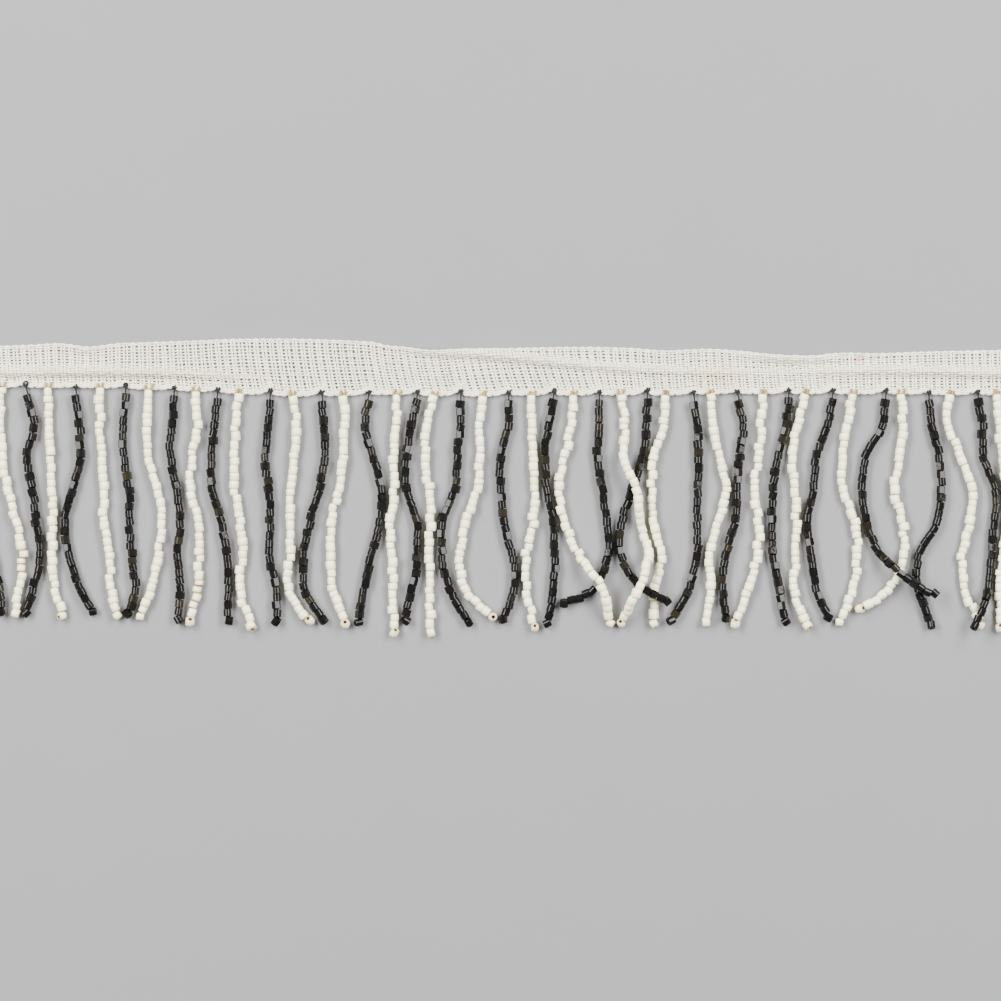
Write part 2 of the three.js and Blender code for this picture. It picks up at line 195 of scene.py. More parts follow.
# Black strands with a loop of thread standing above the edge
RING_LOOPS = ("B0", "B1", "B3")
# Beads with rust between them: x, drop, reach
RUSTED_BEADS = [(-100.6, 35.8, 2), (-63.6, 42.5, 3)]
# Tint of the stop beads: below 0 stands for rust at a bead's ends
STOP_TINT = -0.22
# Place along a bead that marks the wall of its hole, beyond the 0 to 1 of its outside
HOLE_MARK = 2.0
# Painted shade: beige darkening at each bead's ends, where it meets the next, and on its hole's walls
SEAM_SHADE = (0.66, 0.52, 0.34)
RUST = (0.33, 0.175, 0.065)
# Painted shade on the walls of a bead's hole
HOLE_SHADE = (0.22, 0.13, 0.06)
OLIVE = (0.015, 0.012, 0.007)
# Stains on the tape, the last row painted shade along the left fold: x, drop, reach along and across,
# strength, colour
STAINS_AND_FOLD_SHADE = [
    (46, -2.6, 6, 4, 0.35, (0.60, 0.43, 0.20)),
    (75.6, -6.8, 1.3, 1.0, 0.75, (0.72, 0.30, 0.24)),
    # Painted shade: a warm darkening along the crease of the left fold, not a stain
    (-76, -3.4, 34, 1.8, 0.3, (0.60, 0.47, 0.30)),
]

# The photo's width in pixels, a pixel in millimetres, and the drop in the middle of the view
VIEW_PIXELS = 1001
PIXEL = 0.21
VIEW_DROP = 23.2
# The camera's height in metres and its sensor's width in millimetres
CAMERA_HEIGHT = 0.9
SENSOR = 36
# The side lights, in metres: reach to the side, distance behind the view's middle, height, size, and turn
BOX_SIDE = 0.5
BOX_BACK = 0.27
BOX_HEIGHT = 0.58
BOX_SIZE = (0.28, 0.85)
BOX_PITCH = math.radians(-20)
BOX_ROLL = math.radians(41)


def ease_from(share):
    """1 at 0, falling softly to 0 at 1 and beyond."""
    return 0.5 * (1 + np.cos(np.pi * np.clip(share, 0, 1)))


def read_smooth(rows, x):
    """The second column of a table at x, on a soft curve through its rows."""
    places, values = rows[:, 0], rows[:, 1]
    slopes = np.gradient(values, places)
    inside = np.clip(x, places[0], places[-1])
    row = np.clip(np.searchsorted(places, inside) - 1, 0, len(places) - 2)
    span = places[row + 1] - places[row]
    t = (inside - places[row]) / span
    rise = values[row + 1] - values[row]
    start = slopes[row] * span
    end = slopes[row + 1] * span
    return values[row] + t * (start + t * (3 * rise - 2 * start - end + t * (start + end - 2 * rise)))


def run_along(points, power=1.0):
    """For each point of a line, the sum of its steps so far, each raised to a power."""
    steps = np.linalg.norm(np.diff(points, axis=0), axis=1) ** power
    return np.concatenate([[0], np.cumsum(steps)])


def upper_edge(x):
    return read_smooth(UPPER_EDGE, x)


def hanging_edge(x):
    """The lower edge as it would run from one white root to the next."""
    return read_smooth(np.array([row[1:3] for row in WHITE_STRANDS]), x)


def drawn_up(x):
    """How far the black threads draw the lower edge up, softly from the left and steeply on the right."""
    drawn = np.zeros(np.shape(x))
    for _, root, edge, *_ in BLACK_STRANDS:
        depth = hanging_edge(np.array([root]))[0] - edge
        reach = np.where(x < root, PINCH_LEFT, PINCH_RIGHT)
        drawn = drawn + depth * ease_from(np.abs(x - root) / reach) ** 1.5
    return drawn


def lower_edge(x):
    return hanging_edge(x) - drawn_up(x)


def cloth_height(x, drop):
    """Height of the tape's middle above the floor."""
    height = np.full(np.broadcast(x, drop).shape, CLOTH_MIDDLE)
    for fold in FOLDS:
        rows = np.array(fold)
        crest = np.interp(x, rows[:, 0], rows[:, 1])
        rise = np.interp(x, rows[:, 0], rows[:, 2], left=0, right=0)
        height = height + rise * ease_from(np.abs(drop - crest) / FOLD_HALF)
    lip = LIP_RISE * ease_from((lower_edge(x) - drop) / LIP_WIDTH)
    return height + lip


class TapeLie:
    """Maps shares of the tape's flat width to drops, so that rows close up where the cloth is steep."""

    def __init__(self):
        self.x = np.linspace(-HALF_LENGTH - 4, HALF_LENGTH + 4, 1200)
        self.share = np.linspace(0, 1, 81)
        low, high = hanging_edge(self.x), upper_edge(self.x)
        drops = low[:, None] + (high - low)[:, None] * self.share[None, :]
        heights = cloth_height(self.x[:, None], drops)
        steps = np.hypot(np.diff(drops, axis=1), np.diff(heights, axis=1))
        run = np.concatenate([np.zeros((len(self.x), 1)), np.cumsum(steps, axis=1)], axis=1)
        run /= run[:, -1:]
        self.drops = np.array([np.interp(self.share, r, d) for r, d in zip(run, drops)])
        self.drops -= drawn_up(self.x)[:, None] * ease_from(self.share / PINCH_SHARE)[None, :]

    def drop(self, x, share):
        """Drop at a place along the tape and a share of its width, from the lower edge up."""
        along = np.clip((x - self.x[0]) / (self.x[1] - self.x[0]), 0, len(self.x) - 1.001)
        across = np.clip(share * (len(self.share) - 1), 0, len(self.share) - 1.001)
        i, j = along.astype(int), across.astype(int)
        a, b = along - i, across - j
        d = self.drops
        near = d[i, j] * (1 - b) + d[i, j + 1] * b
        far = d[i + 1, j] * (1 - b) + d[i + 1, j + 1] * b
        return near * (1 - a) + far * a


def on_cloth(x, drop, raised):
    """Points raised from the tape's middle, square to the cloth, and the cloth's normals."""
    step = 0.05
    slope_x = (cloth_height(x + step, drop) - cloth_height(x - step, drop)) / (2 * step)
    slope_d = (cloth_height(x, drop + step) - cloth_height(x, drop - step)) / (2 * step)
    normal = np.stack([-slope_x, slope_d, np.ones_like(slope_x)], axis=-1)
    normal /= np.linalg.norm(normal, axis=-1, keepdims=True)
    point = np.stack([x, EDGE_Y - drop, cloth_height(x, drop)], axis=-1)
    return point + normal * np.asarray(raised)[..., None], normal


class MeshParts:
    """Gathers tubes and beads into the arrays of one mesh."""

    def __init__(self):
        self.points, self.faces, self.uvs, self.tints = [], [], [], []
        self.count = 0

    def add(self, points, faces, uvs, tint):
        """points in millimetres, faces as an array of quads, uvs for each face's corners."""
        self.points.append(points)
        self.faces.append(faces + self.count)
        self.uvs.append(uvs.reshape(-1, 2))
        self.tints.append(np.broadcast_to(tint, (len(points),)))
        self.count += len(points)

    def slab(self, top, under):
        """A thin closed layer between two grids of points."""
        rows, columns = top.shape[:2]
        index = np.arange(rows * columns).reshape(rows, columns)
        corners = [index[:-1, :-1], index[1:, :-1], index[1:, 1:], index[:-1, 1:]]
        upper = np.stack(corners, axis=-1).reshape(-1, 4)
        rim = np.concatenate([index[0, :-1], index[:-1, -1], index[-1, :0:-1], index[:0:-1, 0]])
        following = np.roll(rim, -1)
        walls = np.stack([rim, following, following + index.size, rim + index.size], axis=-1)
        faces = np.concatenate([upper, upper[:, ::-1] + index.size, walls])
        points = np.concatenate([top.reshape(-1, 3), under.reshape(-1, 3)])
        self.add(points, faces, points[faces][:, :, :2], 1.0)

    def tube(self, path, up, half_width, half_height, tint=1.0, sides=6):
        """A round or flattened tube along a path, closed at both ends."""
        ahead = np.gradient(path, axis=0)
        ahead /= np.linalg.norm(ahead, axis=1, keepdims=True) + 1e-12
        side = np.cross(up, ahead)
        side /= np.linalg.norm(side, axis=1, keepdims=True) + 1e-12
        top = np.cross(ahead, side)
        angle = 2 * np.pi * (np.arange(sides) + 0.5) / sides
        wide = np.broadcast_to(half_width, (len(path),))[:, None, None]
        high = np.broadcast_to(half_height, (len(path),))[:, None, None]
        ring = path[:, None, :] + side[:, None, :] * (wide * np.cos(angle)[None, :, None])
        ring = ring + top[:, None, :] * (high * np.sin(angle)[None, :, None])
        rows = np.arange(len(path) - 1)[:, None] * sides
        column = np.arange(sides)[None, :]
        near = rows + column
        far = rows + (column + 1) % sides
        body = np.stack([near, far, far + sides, near + sides], axis=-1)
        run = run_along(path)
        u0 = np.broadcast_to(run[:-1, None], body.shape[:2])
        u1 = np.broadcast_to(run[1:, None], body.shape[:2])
        v0 = np.broadcast_to(column / sides, body.shape[:2])
        v1 = v0 + 1 / sides
        uv = np.stack([np.stack(p, axis=-1) for p in ((u0, v0), (u0, v1), (u1, v1), (u1, v0))], axis=2)
        tints = np.repeat(np.broadcast_to(tint, (len(path),)), sides)
        self.add(ring.reshape(-1, 3), body.reshape(-1, 4), uv.reshape(-1, 4, 2), tints)
        self.cap(sides, len(path))

    def cap(self, sides, rings):
        """Closes the ends of the last tube with quads between its corners."""
        first = self.count - rings * sides
        last = self.count - sides
        steps = np.arange(0, sides - 2, 2)[:, None] * [0, 1, 1, 1]
        faces = np.concatenate([first + steps + [0, 3, 2, 1], last + steps + [0, 1, 2, 3]])
        self.faces.append(faces)
        self.uvs.append(np.zeros((faces.size, 2)))

    def build(self, name, material):
        """The finished piece, in metres, at the origin."""
        mesh = bpy.data.meshes.new(name)
        points = np.concatenate(self.points) * MM
        faces = np.concatenate(self.faces)
        mesh.from_pydata(points.tolist(), [], faces.tolist())
        layer = mesh.uv_layers.new(name="Run")
        layer.data.foreach_set("uv", np.concatenate(self.uvs).astype(np.float32).ravel())
        tint = mesh.attributes.new("tint", "FLOAT", "POINT")
        tint.data.foreach_set("value", np.concatenate(self.tints).astype(np.float32))
        mesh.materials.append(material)
        mesh.polygons.foreach_set("use_smooth", np.ones(len(faces), bool))
        mesh.update()
        piece = bpy.data.objects.new(name, mesh)
        bpy.context.scene.collection.objects.link(piece)
        return piece


class Wire:
    """A shader value: arithmetic on it adds Math nodes."""

    def __init__(self, finish, socket):
        self.finish, self.socket = finish, socket

    def _math(self, operation, left, right=0.0):
        return self.finish.node("ShaderNodeMath", {"operation": operation}, {0: left, 1: right})

    def __add__(self, other):
        return self._math("ADD", self, other)

    def __mul__(self, other):
        return self._math("MULTIPLY", self, other)

    __rmul__ = __mul__

    def __sub__(self, other):
        return self._math("SUBTRACT", self, other)

    def sine(self):
        return self._math("SINE", self)

    def absolute(self):
        return self._math("ABSOLUTE", self)


class Finish:
    """A node material under construction."""

    def __init__(self, name, **constants):
        self.material = bpy.data.materials.new(name)
        self.material.use_nodes = True
        self.tree = self.material.node_tree
        self.shader = self.tree.nodes["Principled BSDF"]
        for socket, value in constants.items():
            self.shader.inputs[socket.replace("_", " ")].default_value = value

    def node(self, kind, settings, sockets, output=0):
        """Adds a node with its settings, then its socket values or links, and returns an output."""
        node = self.tree.nodes.new(kind)
        for key, value in settings.items():
            setattr(node, key, value)
        for key, value in sockets.items():
            self.feed(node.inputs[key], value)
        return Wire(self, node.outputs[output])

    def feed(self, socket, value):
        if isinstance(value, Wire):
            self.tree.links.new(value.socket, socket)
        else:
            socket.default_value = value

    def give(self, socket, value):
        self.feed(self.shader.inputs[socket], value)

    def object_place(self):
        return self.node("ShaderNodeTexCoord", {}, {}, "Object")

    def run_place(self):
        """Place along a yarn and round it, or round a bead and along it."""
        run = self.node("ShaderNodeUVMap", {"uv_map": "Run"}, {})
        return [self.node("ShaderNodeSeparateXYZ", {}, {0: run}, axis) for axis in "XY"]

    def noise(self, scale, detail=3.0):
        sockets = {"Vector": self.object_place(), "Scale": scale, "Detail": detail}
        return self.node("ShaderNodeTexNoise", {}, sockets, "Fac")

    def attribute(self, name):
        return self.node("ShaderNodeAttribute", {"attribute_name": name}, {}, "Fac")

    def mix(self, share, first, second, blend="MIX"):
        settings = {"data_type": "RGBA", "blend_type": blend}
        return self.node("ShaderNodeMix", settings, {0: share, 6: first, 7: second}, 2)

    def spread(self, value, low, high, to_low=0.0, to_high=1.0):
        sockets = {"Value": value, "From Min": low, "From Max": high, "To Min": to_low, "To Max": to_high}
        return self.node("ShaderNodeMapRange", {}, sockets)

    def bump(self, height, distance, strength=1.0):
        sockets = {"Height": height, "Distance": distance, "Strength": strength}
        self.give("Normal", self.node("ShaderNodeBump", {}, sockets))

    def stain_and_shade(self, x, drop, reach_x, reach_d):
        """A soft blot on the tape: 1 in its middle, 0 at its ragged rim."""
        place = self.object_place()
        middle = (x * MM, (EDGE_Y - drop) * MM, 0)
        offset = self.node("ShaderNodeVectorMath", {"operation": "SUBTRACT"}, {0: place, 1: middle})
        scaled = self.node("ShaderNodeVectorMath", {"operation": "MULTIPLY"},
                           {0: offset, 1: (1 / (reach_x * MM), 1 / (reach_d * MM), 0)})
        away = self.node("ShaderNodeVectorMath", {"operation": "LENGTH"}, {0: scaled}, "Value")
        ragged = away + 0.9 * (self.noise(700.0) - 0.5)
        return self.spread(ragged, 1.0, 0.2)


def rgba(colour):
    return (*colour, 1.0)


def yarn_finish(name, colour, twist, sheen, stained_and_shaded=False):
    """Spun cotton: a fine twist along the yarn, soft mottling and, on the tape, faint stains and a band of
    painted shade along the left fold.
    """
    finish = Finish(name, Roughness=0.9, Sheen_Weight=sheen, Sheen_Roughness=0.5)
    along, around = finish.run_place()
    ply = (along * (2 * math.pi / twist) + around * (2 * math.pi)).sine()
    mottle = finish.noise(900.0, 4.0)
    darker = tuple(0.86 * c for c in colour)
    base = finish.mix(finish.spread(mottle, 0.3, 0.7), rgba(darker), rgba(colour))
    tint = finish.attribute("tint")
    shade = finish.node("ShaderNodeCombineColor", {}, {0: tint, 1: tint, 2: tint})
    base = finish.mix(1.0, base, shade, "MULTIPLY")
    # The last blot is painted shade along the left fold; the others are stains
    for *blot, strength, stain_and_shade in (STAINS_AND_FOLD_SHADE if stained_and_shaded else ()):
        base = finish.mix(strength * finish.stain_and_shade(*blot), base, rgba(stain_and_shade))
    finish.give("Base Color", base)
    fibre = finish.noise(9000.0, 3.0)
    finish.bump(0.6 * ply + fibre, 0.04 * MM, 0.6)
    return finish.material


def ivory_finish(colour):
    """Opaque ivory glass, softly glossy, with painted shade at the beads' ends, where they meet, and in
    their holes, and rust on some of them.
    """
    finish = Finish("ivory_glass", IOR=1.5, Subsurface_Weight=0.35, Subsurface_Scale=0.7 * MM,
                    Subsurface_Radius=(1.0, 0.85, 0.6))
    tint = finish.attribute("tint")
    warm = tuple(c * w for c, w in zip(colour, (0.95, 0.92, 0.85)))
    base = finish.mix(finish.spread(tint, 0.0, 1.0), rgba(warm), rgba(colour))
    cloud = finish.noise(1500.0, 3.0)
    base = finish.mix(finish.spread(cloud, 0.35, 0.75, 0.0, 0.25), base, rgba(warm))
    _, along = finish.run_place()
    from_middle = (along - 0.5).absolute()
    # Painted shade at both ends of every bead, where it meets the next, and in its hole
    base = finish.mix(0.35 * finish.spread(from_middle, 0.4, 0.5), base, rgba(SEAM_SHADE))
    rust = finish.spread(from_middle, 0.26, 0.42) * finish.spread(tint, 0.0, -0.6)
    base = finish.mix(rust, base, rgba(RUST))
    # Painted shade: dark brown on the walls of each bead's hole
    base = finish.mix(0.8 * finish.spread(from_middle, 1.0, 1.1), base, rgba(HOLE_SHADE))
    finish.give("Base Color", base)
    finish.give("Roughness", finish.spread(cloud, 0.3, 0.7, 0.26, 0.42))
    finish.bump(finish.noise(2600.0, 2.0), 0.02 * MM, 0.5)
    return finish.material


def jet_finish(colour):
    """Black cut glass: bright facets, a few beads brown or olive."""
    finish = Finish("jet_glass", IOR=1.5, Specular_IOR_Level=0.15)
    tint = finish.attribute("tint")
    finish.give("Base Color", finish.mix(finish.spread(tint, 0.86, 1.0), rgba(colour), rgba(OLIVE)))
    smear = finish.noise(1800.0, 2.0)
    finish.give("Roughness", finish.spread(smear, 0.35, 0.7, 0.05, 0.16))
    finish.bump(finish.noise(1500.0, 2.0), 0.03 * MM, 0.5)
    return finish.material


def between(t, start, end, first, last):
    """Where a point is at time t on its way from the first place to the last."""
    return ((end - t) * first + (t - start) * last) / (end - start)


def strand_path(row, start_drop):
    """Evenly spaced points on a strand's lie, as x, drop and lift, from its first bead to its tip."""
    name, root, _, *at, tip, tip_drop = row
    knots = np.array([(root, start_drop), *zip(at, WAYPOINT_DROPS), (tip, tip_drop)])
    ends = np.concatenate([[2 * knots[0] - knots[1]], knots, [2 * knots[-1] - knots[-2]]])
    times = run_along(ends, 0.5)
    curve = []
    for k in range(1, len(ends) - 2):
        t = np.linspace(times[k], times[k + 1], CURVE_STEPS, endpoint=False)[:, None]
        near, points = times[k - 1:k + 3], ends[k - 1:k + 3]
        for reach in (1, 2):
            points = [between(t, near[i], near[i + reach], points[i], points[i + 1])
                      for i in range(4 - reach)]
        curve.append(between(t, near[1], near[2], *points))
    curve = np.concatenate([*curve, knots[-1:]])
    lift = np.zeros(len(curve))
    for over, x, drop, flat, ramp, rise in CROSSINGS:
        if over == name:
            away = np.hypot(curve[:, 0] - x, curve[:, 1] - drop)
            lift = np.maximum(lift, rise * ease_from((away - flat) / ramp))
    path = np.column_stack([curve, lift])
    run = run_along(path)
    even = np.arange(0, run[-1], STRAND_STEP)
    return np.column_stack([np.interp(even, run, path[:, k]) for k in range(3)])


def select_only(mesh, domain, wanted):
    """Selects the edges or faces of the edited mesh that a test picks."""
    bpy.ops.mesh.select_mode(type=domain)
    bpy.ops.mesh.select_all(action="DESELECT")
    bpy.ops.object.mode_set(mode="OBJECT")
    for item in (mesh.edges if domain == "EDGE" else mesh.polygons):
        item.select = wanted(item)
    bpy.ops.object.mode_set(mode="EDIT")


def model_bead(across, length, hole, corner, rim):
    """Models one cut bead, in millimetres, with its hole along Z, and returns its points and faces."""
    bpy.ops.object.select_all(action="DESELECT")
    bpy.ops.mesh.primitive_cylinder_add(vertices=6, radius=across / 2, depth=length, end_fill_type="NGON")
    bead = bpy.context.object
    mesh = bead.data
    bpy.ops.object.mode_set(mode="EDIT")
    co = mesh.vertices

    def upright(edge):
        a, b = (co[i].co for i in edge.vertices)
        return abs(a.z - b.z) > 0.5 * length

    if corner > 0:
        select_only(mesh, "EDGE", upright)
        bpy.ops.mesh.bevel(offset=corner, segments=1, affect="EDGES")
    select_only(mesh, "FACE", lambda face: abs(face.normal.z) > 0.9)
    bpy.ops.mesh.inset(thickness=0.0)
    share = hole / across
    bpy.ops.transform.resize(value=(share, share, 1))
    bpy.ops.mesh.bridge_edge_loops()

    def outer_rim(edge):
        a, b = (co[i].co for i in edge.vertices)
        level = abs(a.z - b.z) < 1e-5
        return level and min(a.xy.length, b.xy.length) > 0.4 * across

    select_only(mesh, "EDGE", outer_rim)
    bpy.ops.mesh.bevel(offset=rim, segments=1, affect="EDGES")
    bpy.ops.mesh.select_all(action="SELECT")
    bpy.ops.mesh.normals_make_consistent(inside=False)
    bpy.ops.object.mode_set(mode="OBJECT")
    points = np.array([v.co for v in mesh.vertices])
    faces = np.array([list(f.vertices) for f in mesh.polygons])
    bpy.data.objects.remove(bead)
    bpy.data.meshes.remove(mesh)
    corners = points[faces]
    turn = np.arctan2(corners[:, :, 1], corners[:, :, 0]) / (2 * np.pi) + 0.5
    along = corners[:, :, 2] / length + 0.5
    inside = np.linalg.norm(corners[:, :, :2], axis=2).max(axis=1) < 0.52 * hole
    along[inside] = HOLE_MARK
    return points, faces, np.stack([turn, along], axis=-1)


def turned(axis, spin):
    """Rotations that bring Z to each axis, after a spin about Z."""
    helper = np.where(np.abs(axis[:, 2:3]) < 0.9, [[0.0, 0.0, 1.0]], [[0.0, 1.0, 0.0]])
    side = np.cross(helper, axis)
    side /= np.linalg.norm(side, axis=1, keepdims=True)
    up = np.cross(axis, side)
    c, s = np.cos(spin)[:, None], np.sin(spin)[:, None]
    return np.stack([side * c + up * s, up * c - side * s, axis], axis=2)


def thread_beads(parts, row, models, sizes, start_drop, stop, rng, tint_of):
    """Lays one strand of beads on the floor along its path, the last one turned as a stop."""
    path = strand_path(row, start_drop)
    room = (len(path) - 1) * STRAND_STEP - sizes["stop_room"]
    count = max(int(round(room / sizes["pitch"])), 2)
    lengths = rng.normal(1, sizes["length_spread"], count).clip(*BEAD_LENGTHS)
    lengths *= room / lengths.sum()
    middles = np.cumsum(lengths) - lengths / 2
    at = np.clip((middles / STRAND_STEP).astype(int), 2, len(path) - 3)
    ahead = path[at + 2] - path[at - 2]
    lengths = np.append(lengths, sizes["pitch"])
    at = np.append(at, len(path) - 1)
    ahead = np.vstack([ahead, path[-1] - path[-4]])
    ahead = ahead * [1, -1, 1]
    ahead /= np.linalg.norm(ahead, axis=1, keepdims=True)
    tilt = rng.normal(0, sizes["tilt"], (count + 1, 3)).clip(-2.4 * sizes["tilt"], 2.4 * sizes["tilt"])
    axis = ahead + tilt
    heading, rise = np.radians(stop)
    axis[-1] = (np.cos(rise) * np.cos(heading), np.cos(rise) * np.sin(heading), np.sin(rise))
    axis /= np.linalg.norm(axis, axis=1, keepdims=True)
    spin = rng.uniform(0, np.pi / 3, count + 1)
    girth = rng.normal(1, sizes["girth_spread"], count + 1).clip(*BEAD_GIRTHS)
    stretch = np.stack([girth, girth, (lengths - sizes["gap"]) / sizes["pitch"]], axis=1)
    picks = (rng.uniform(0, 1, count + 1) > sizes["first_share"]).astype(int)
    turns = turned(axis, spin)
    shapes = [(models[pick][0] * grow) @ turn.T for pick, grow, turn in zip(picks, stretch, turns)]
    sway = rng.normal(0, sizes["sway"], count + 1).clip(-2 * sizes["sway"], 2 * sizes["sway"])
    sideways = np.stack([-ahead[:, 1], ahead[:, 0]], axis=1)
    place = np.column_stack([path[at, 0], EDGE_Y - path[at, 1], path[at, 2]])
    place[:, :2] += sideways * sway[:, None]
    place[:, 2] -= [shape[:, 2].min() for shape in shapes]
    tints = tint_of(path[at], rng.uniform(0, 1, count + 1))
    for shape, where, pick, tint in zip(shapes, place, picks, tints):
        parts.add(shape + where, *models[pick][1:], tint)


def shade_beads(context, beads, crease):
    """Shades a piece smooth but for the edges sharper than an angle in degrees."""
    bpy.ops.object.select_all(action="DESELECT")
    beads.select_set(True)
    context.view_layer.objects.active = beads
    bpy.ops.object.shade_smooth_by_angle(angle=math.radians(crease))


class TrimSizes(bpy.types.PropertyGroup):
    weft_pitch: FloatProperty(name="Weft pitch", description="From one pair of wefts to the next",
                              default=1.64 * MM, unit="LENGTH", precision=5)
    pair_gap: FloatProperty(name="Pair gap", description="Between the middles of a pair's two wefts",
                            default=0.64 * MM, unit="LENGTH", precision=5)
    warp_ends: IntProperty(name="Warp ends", description="Yarns that run along the open weave",
                           default=15, min=4)
    weft_width: FloatProperty(name="Weft width", description="Width of a flattened weft yarn",
                              default=0.52 * MM, unit="LENGTH", precision=5)
    warp_width: FloatProperty(name="Warp width", description="Width of a flattened warp yarn",
                              default=0.33 * MM, unit="LENGTH", precision=5)
    yarn_height: FloatProperty(name="Yarn height", description="Thickness of a flattened yarn",
                               default=0.27 * MM, unit="LENGTH", precision=5)
    white_across: FloatProperty(name="White bead", description="Width of a white bead over its corners",
                                default=1.92 * MM, unit="LENGTH", precision=5)
    white_pitch: FloatProperty(name="White pitch", description="Mean length of a white bead",
                               default=1.62 * MM, unit="LENGTH", precision=5)
    black_across: FloatProperty(name="Black bead", description="Width of a black bead over its corners",
                                default=1.92 * MM, unit="LENGTH", precision=5)
    black_pitch: FloatProperty(name="Black pitch", description="Mean length of a black bead",
                               default=1.65 * MM, unit="LENGTH", precision=5)
    hole: FloatProperty(name="Hole", description="Width of a bead's hole",
                        default=0.9 * MM, unit="LENGTH", precision=5)
    thread: FloatProperty(name="Thread", description="Thickness of the sewing thread",
                          default=0.3 * MM, unit="LENGTH", precision=5)
    flat_width: FloatProperty(name="Flat width", description="Width of the tape before it was folded",
                              default=12 * MM, unit="LENGTH", precision=4)
    seed: IntProperty(name="Seed", description="Picks the chance differences between beads and yarns",
                      default=7)


class TrimColours(bpy.types.PropertyGroup):
    gauze: FloatVectorProperty(name="Gauze", description="Unbleached cotton", subtype="COLOR",
                               default=(0.855, 0.795, 0.65))
    ivory: FloatVectorProperty(name="Ivory", description="White beads", subtype="COLOR",
                               default=(0.94, 0.89, 0.63))
    jet: FloatVectorProperty(name="Jet", description="Black beads", subtype="COLOR",
                             default=(0.005, 0.0045, 0.004))
    cream: FloatVectorProperty(name="Cream thread", description="Thread of the white strands",
                               subtype="COLOR", default=(0.40, 0.275, 0.10))
    black_thread: FloatVectorProperty(name="Black thread", description="Thread of the black strands",
                                      subtype="COLOR", default=(0.006, 0.0055, 0.0055))
    floor: FloatVectorProperty(name="Floor", description="Plain pale floor", subtype="COLOR",
                               default=(0.18, 0.18, 0.183))


